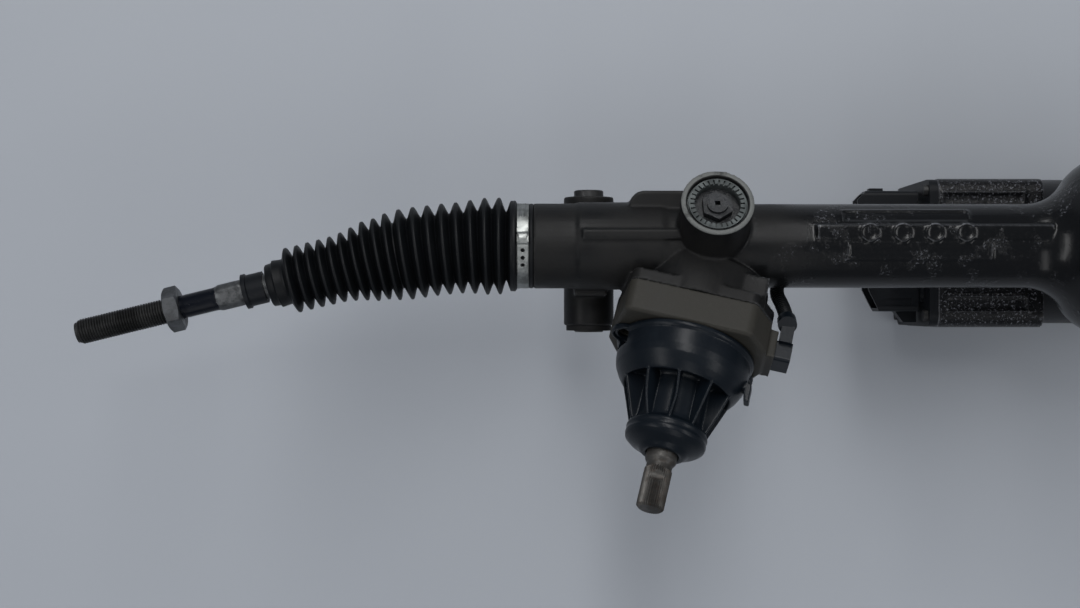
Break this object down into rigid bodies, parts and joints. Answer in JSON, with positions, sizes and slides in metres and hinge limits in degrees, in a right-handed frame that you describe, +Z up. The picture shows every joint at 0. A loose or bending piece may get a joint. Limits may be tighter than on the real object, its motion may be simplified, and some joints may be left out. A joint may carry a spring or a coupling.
{
  "type": "electric power steering rack",
  "caption": "Steering rack with a motor and control unit beside it, a belt-driven ball nut, a pinion with torque sensor, bellows boots and tie rods on ball joints.",
  "frame": {"origin": "centre of the pinion-side mounting bore", "axes": "+X along the rack towards the motor side, +Y along the mounting bores, away from the pinion input, +Z up as the unit lies on its control unit"},
  "size_m": [1.207, 0.2047, 0.204],
  "materials": {
    "cast_housing": "cast, under greasy black-brown road dirt",
    "cast_drive": "cast, black coated, satin",
    "motor_can": "black, satin",
    "machined_steel": "ground and oiled",
    "bearing_steel": "ground",
    "dark_steel": "phosphated, oily",
    "zinc_steel": "zinc plated, dull",
    "rod_steel": "black paint worn to grey steel",
    "boot_rubber": "black elastomer, satin",
    "bush_rubber": "black, matte",
    "black_moulding": "black, fine grain",
    "pale_moulding": "natural, plain",
    "board_green": "lacquered board",
    "core_laminations": "stacked sheets, varnished",
    "cable_sleeve": "black corrugated sleeve"
  },
  "bodies": {
    "housing": {"rack_housing": "cast_housing", "belt_cover": "cast_drive", "belt_cover_bolts": "zinc_steel", "motor_housing": "motor_can", "motor_bolts": "zinc_steel", "motor_stator": "core_laminations", "motor_bearings": "bearing_steel", "drive_belt": "boot_rubber", "nut_bearing": "bearing_steel", "bearing_lock_ring": "dark_steel", "ecu_housing": "cast_drive", "ecu_cover": "black_moulding", "ecu_screws": "zinc_steel", "ecu_board": "board_green", "power_connector": "black_moulding", "signal_connector": "black_moulding", "rack_bushes": "pale_moulding", "pinion_needle_bearing": "bearing_steel", "pinion_ball_bearing": "bearing_steel", "pinion_bearing_nut": "dark_steel", "pinion_end_cap": "zinc_steel", "sensor_housing": "cast_housing", "sensor_screws": "zinc_steel", "torque_sensor": "black_moulding", "input_seal": "boot_rubber", "pinion_cover": "black_moulding", "yoke": "dark_steel", "yoke_liner": "pale_moulding", "yoke_spring": "bearing_steel", "yoke_plug": "dark_steel", "yoke_lock_ring": "dark_steel", "sensor_cable": "cable_sleeve", "sensor_plug": "black_moulding", "ecu_plug": "black_moulding", "cable_clip": "black_moulding", "mount_bushes": "bush_rubber", "mount_sleeves": "zinc_steel", "left_boot_clamp": "zinc_steel", "left_boot": "boot_rubber", "right_boot_clamp": "zinc_steel", "right_boot": "boot_rubber"},
    "rack": {"rack_bar": "machined_steel", "left_inner_socket": "machined_steel", "right_inner_socket": "machined_steel"},
    "pinion": {"pinion_shaft": "machined_steel", "torsion_bar": "machined_steel"},
    "input": {"input_shaft": "machined_steel"},
    "nut": {"ball_nut": "machined_steel", "nut_pulley": "dark_steel"},
    "rotor": {"motor_rotor": "core_laminations", "motor_shaft": "machined_steel", "motor_pulley": "dark_steel"},
    "left_seat": {"left_ball_seat": "pale_moulding"},
    "left_rod": {"left_tie_rod": "rod_steel", "left_jam_nut": "dark_steel", "left_boot_cuff": "black_moulding"},
    "right_seat": {"right_ball_seat": "pale_moulding"},
    "right_rod": {"right_tie_rod": "rod_steel", "right_jam_nut": "dark_steel", "right_boot_cuff": "black_moulding"}
  },
  "joints": [
    {"name": "ball_nut_spin", "type": "hinge", "parent": "housing", "child": "nut", "pos_m": [0.35, 0.0075, 0.038], "axis": [1, 0, 0], "range_deg": [-5400, 2314.3]},
    {"name": "rack_slide", "type": "slide", "parent": "housing", "child": "rack", "axis": [1, 0, 0], "range_m": [-0.1051, 0.0451], "deforming": ["left_boot", "right_boot"]},
    {"name": "pinion_spin", "type": "hinge", "parent": "housing", "child": "pinion", "pos_m": [0.066, 0.00024, 0.02374], "axis": [-0.2419, -0.8645, 0.4405], "range_deg": [-333.2, 776]},
    {"name": "motor_spin", "type": "hinge", "parent": "housing", "child": "rotor", "pos_m": [0.3, 0.0075, -0.058], "axis": [1, 0, 0], "range_deg": [-14180, 6080]},
    {"name": "input_twist", "type": "hinge", "parent": "pinion", "child": "input", "pos_m": [0.05149, -0.05164, 0.05017], "axis": [-0.2419, -0.8645, 0.4405], "range_deg": [-4.5, 4.5], "stiffness_Nm_per_rad": 115},
    {"name": "left_swing", "type": "hinge", "parent": "rack", "child": "left_seat", "pos_m": [-0.088, 0.0075, 0.038], "axis": [0, 0, 1], "range_deg": [-35.74, 8.26]},
    {"name": "left_tilt", "type": "hinge", "parent": "left_seat", "child": "left_rod", "pos_m": [-0.088, 0.0075, 0.038], "axis": [0.2375, -0.9714, 0], "range_deg": [-20, 20]},
    {"name": "right_swing", "type": "hinge", "parent": "rack", "child": "right_seat", "pos_m": [0.722, 0.0075, 0.038], "axis": [0, 0, 1], "range_deg": [-8.26, 35.74]},
    {"name": "right_tilt", "type": "hinge", "parent": "right_seat", "child": "right_rod", "pos_m": [0.722, 0.0075, 0.038], "axis": [0.2375, 0.9714, 0], "range_deg": [-20, 20]}
  ],
  "couplings": [
    {"joint": "rack_slide", "follows": "ball_nut_spin", "m_per_rad": 0.0011141},
    {"joint": "pinion_spin", "follows": "ball_nut_spin", "ratio": -0.14353},
    {"joint": "motor_spin", "follows": "ball_nut_spin", "ratio": 2.625}
  ]
}
